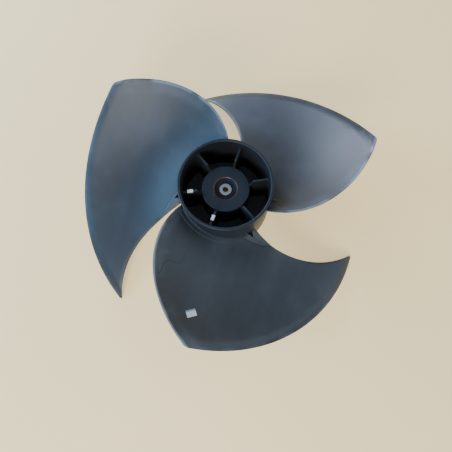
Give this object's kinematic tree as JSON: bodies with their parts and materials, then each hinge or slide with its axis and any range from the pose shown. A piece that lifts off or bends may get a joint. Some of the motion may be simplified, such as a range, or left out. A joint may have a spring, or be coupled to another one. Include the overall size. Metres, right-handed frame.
{
  "type": "axial fan propeller",
  "caption": "Moulded plastic axial fan propeller of an outdoor air conditioner, with sickle blades round a ribbed hub, a metal shaft bush and balance clips.",
  "frame": {"origin": "centre of the shaft bore's mouth on the motor side", "axes": "+Z along the shaft axis towards the air outlet, +X through the first blade's leading tip"},
  "size_m": [0.4599, 0.4585, 0.1692],
  "materials": {
    "propeller_plastic": "satin, finely grained",
    "bush_metal": "turned, bright",
    "clip_metal": "bright sheet",
    "label_paper": "matte coated paper"
  },
  "bodies": {
    "root": {"propeller": "propeller_plastic", "shaft_bush": "bush_metal", "balance_clip_1": "clip_metal", "balance_clip_2": "clip_metal", "label": "label_paper"}
  },
  "joints": []
}
